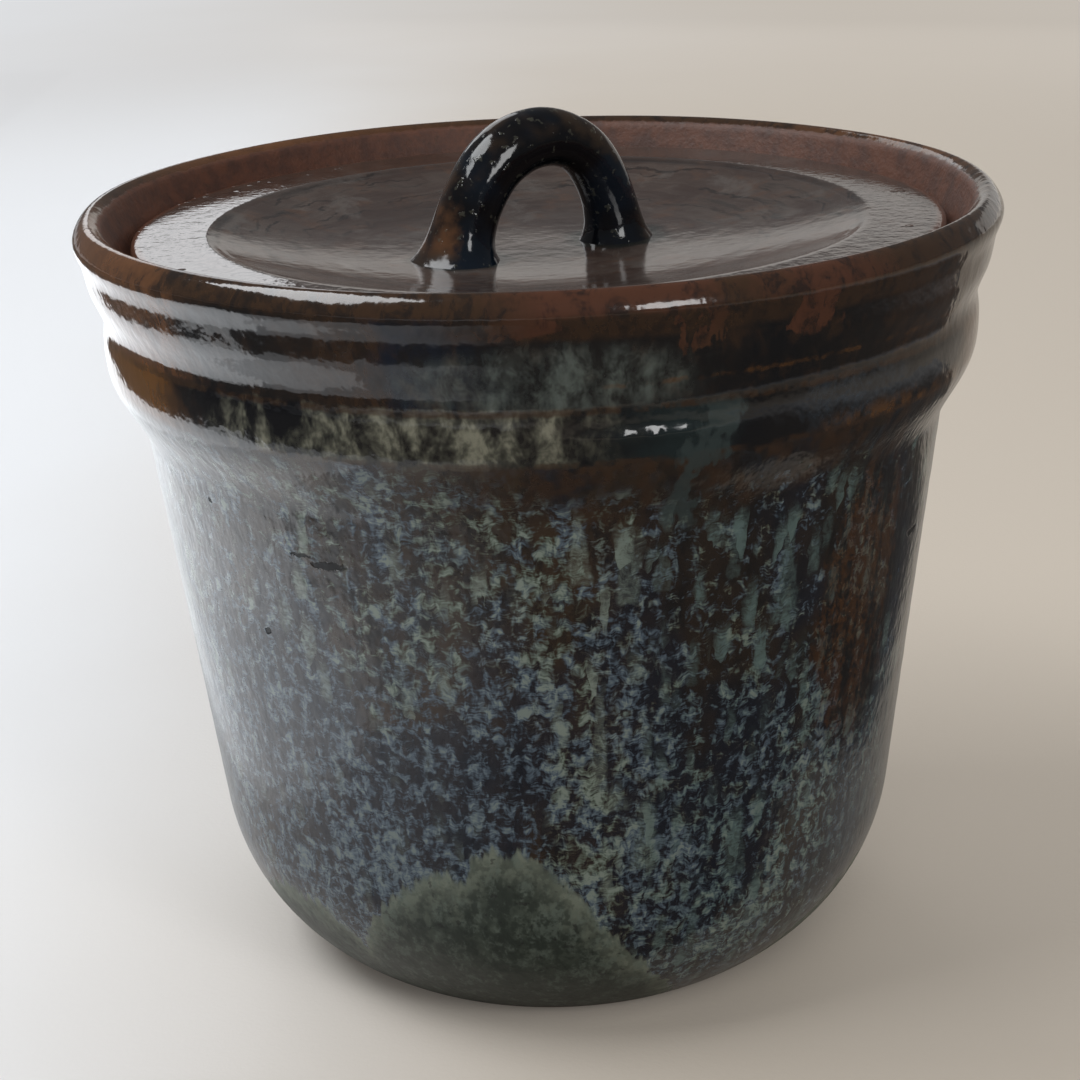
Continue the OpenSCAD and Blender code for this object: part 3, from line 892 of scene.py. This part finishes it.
# Black cards. Dark sheets that lie on the table out of sight, on the far left and in front, as painted shade
# in the glaze's reflections, so that the glaze shows its own dark colour there. Only the gloss sees them.
# Their pale patches, near the jar on the left and far to the right, are painted reflection of lit table.
def card(name, corners, finish_of):
    """A flat card just above the table, by its corners to the right and further away, in metres."""
    mesh = bpy.data.meshes.new(name)
    mesh.from_pydata([tuple(beside(x, y, 0.0006)) for x, y in corners], [], [tuple(range(len(corners)))])
    piece = bpy.data.objects.new(name, mesh)
    bpy.context.scene.collection.objects.link(piece)
    mesh.materials.append(finish_of)
    for sees in ("visible_camera", "visible_diffuse", "visible_shadow", "visible_transmission"):
        setattr(piece, sees, False)


# Near black and dark grey: painted shade seen in the glaze. Pale grey: painted reflection of lit table.
painted_shade_black, painted_shade_grey, painted_lit_table_grey = (0.05, 0.05, 0.05), (0.09, 0.085, 0.08), (0.60, 0.61, 0.63)
front_shade_card_finish, wire, shader = finish("front_painted_shade_card", 1.3)
place = wire.add("ShaderNodeTexCoord", {}, {}, "Object")
nap = place.cloud(700.0, 2.0, 0.6)
from_jar = place.spaced(1, 1, 0).length()
# Pale grey near the jar on the left and at the far right is painted reflection of lit table.
painted_reflection_near = place.along(side).rise(0.0, -0.12) * from_jar.rise(0.245, 0.225)
painted_reflection_right = place.along(side).rise(0.29, 0.45) * 0.6
shade_card_colour = painted_reflection_near.most(painted_reflection_right).mixed(nap.mixed(painted_shade_black, painted_shade_grey), painted_lit_table_grey)
coat(wire, shader, shade_card_colour, nap * 0.1 + 0.85, nap, 0.0003)
card("front_card", [(-0.15, -0.7), (0.45, -0.7), (0.45, 0.18), (0.18, 0.18), (0.12, 0.02), (0.12, -0.05),
                    (0.10, -0.06), (-0.15, -0.06)], front_shade_card_finish)
left_painted_shade_card, wire, shader = finish("left_painted_shade_card", 1.3)
nap = wire.add("ShaderNodeTexCoord", {}, {}, "Object").cloud(700.0, 2.0, 0.6)
coat(wire, shader, nap.mixed(painted_shade_black, painted_shade_grey), nap * 0.1 + 0.85, nap, 0.0003)
card("left_card", [(-1.6, -0.7), (-0.15, -0.7), (-0.15, -0.20), (-0.232, -0.125), (-0.286, -0.035),
                   (-0.318, 0.09), (-0.32, 1.25), (-1.6, 1.25)], left_painted_shade_card)


# Lights. A tall soft window on the left, a paler one behind, a small box at the front, a warm wall at the
# back right, and low glows from the table on the left that shine in the glaze.
def panel(name, centre, towards, width, tall, shine, tint=(1.0, 1.0, 1.0)):
    """A soft lamp of an even shine, the brightness that it has when seen in a mirror."""
    lamp = bpy.data.lights.new(name, "AREA")
    lamp.shape = "RECTANGLE"
    lamp.size, lamp.size_y = width, tall
    lamp.energy = math.pi * width * tall * shine
    lamp.color = tint
    holder = bpy.data.objects.new(name, lamp)
    holder.location = centre
    holder.rotation_euler = (towards - centre).to_track_quat("-Z", "Y").to_euler()
    holder.visible_camera = False
    bpy.context.scene.collection.objects.link(holder)
    return holder


panel("left_window", beside(-0.72, -0.1, 1.15), beside(0, 0, 0.10), 0.9, 0.55, 8.0, (0.96, 0.98, 1.0))
panel("back_window", beside(-0.34, 1.0, 0.62), beside(0, 0, 0.12), 0.42, 0.62, 1.55, (0.97, 0.98, 1.0))
panel("front_box", beside(0.26, -0.47, 0.33), beside(0, 0, 0.12), 0.14, 0.19, 8.0)
panel("back_wall", beside(0.50, 1.25, 0.24), beside(0, 0, 0.12), 1.5, 0.42, 0.48, (1.0, 0.95, 0.89))
wash = panel("far_wash", beside(0.0, 2.0, 1.8), beside(0.0, 2.05, 0.0), 5.0, 3.2, 0.95)
wash.visible_glossy = False
cool = (0.94, 0.97, 1.0)
far_glow = panel("far_table_glow", beside(-0.252, 0.25, 0.0015), beside(0, 0, 1), 0.125, 0.66, 1.4, cool)
near_glow = panel("near_table_glow", beside(-0.15, 0.24, 0.0015), beside(0, 0, 1), 0.08, 0.72, 0.75, cool)
fill = panel("front_fill", beside(0.25, -1.0, 1.0), beside(0, 0, 0.08), 1.2, 0.8, 2.0, (1.0, 0.97, 0.94))
fill.visible_glossy = False
for glow in (far_glow, near_glow):
    glow.rotation_euler = (math.pi, 0.0, front_turn)

world = bpy.data.worlds.new("soft_room")
world.use_nodes = True
background = world.node_tree.nodes["Background"]
background.inputs["Color"].default_value = (0.95, 0.97, 1.0, 1.0)
seen = Wire(world.node_tree).add("ShaderNodeLightPath", {}, {}, "Is Camera Ray")
world.node_tree.links.new((0.13 + seen * 0.55).socket, background.inputs["Strength"])
bpy.context.scene.world = world
bpy.context.scene.view_settings.view_transform = "Standard"
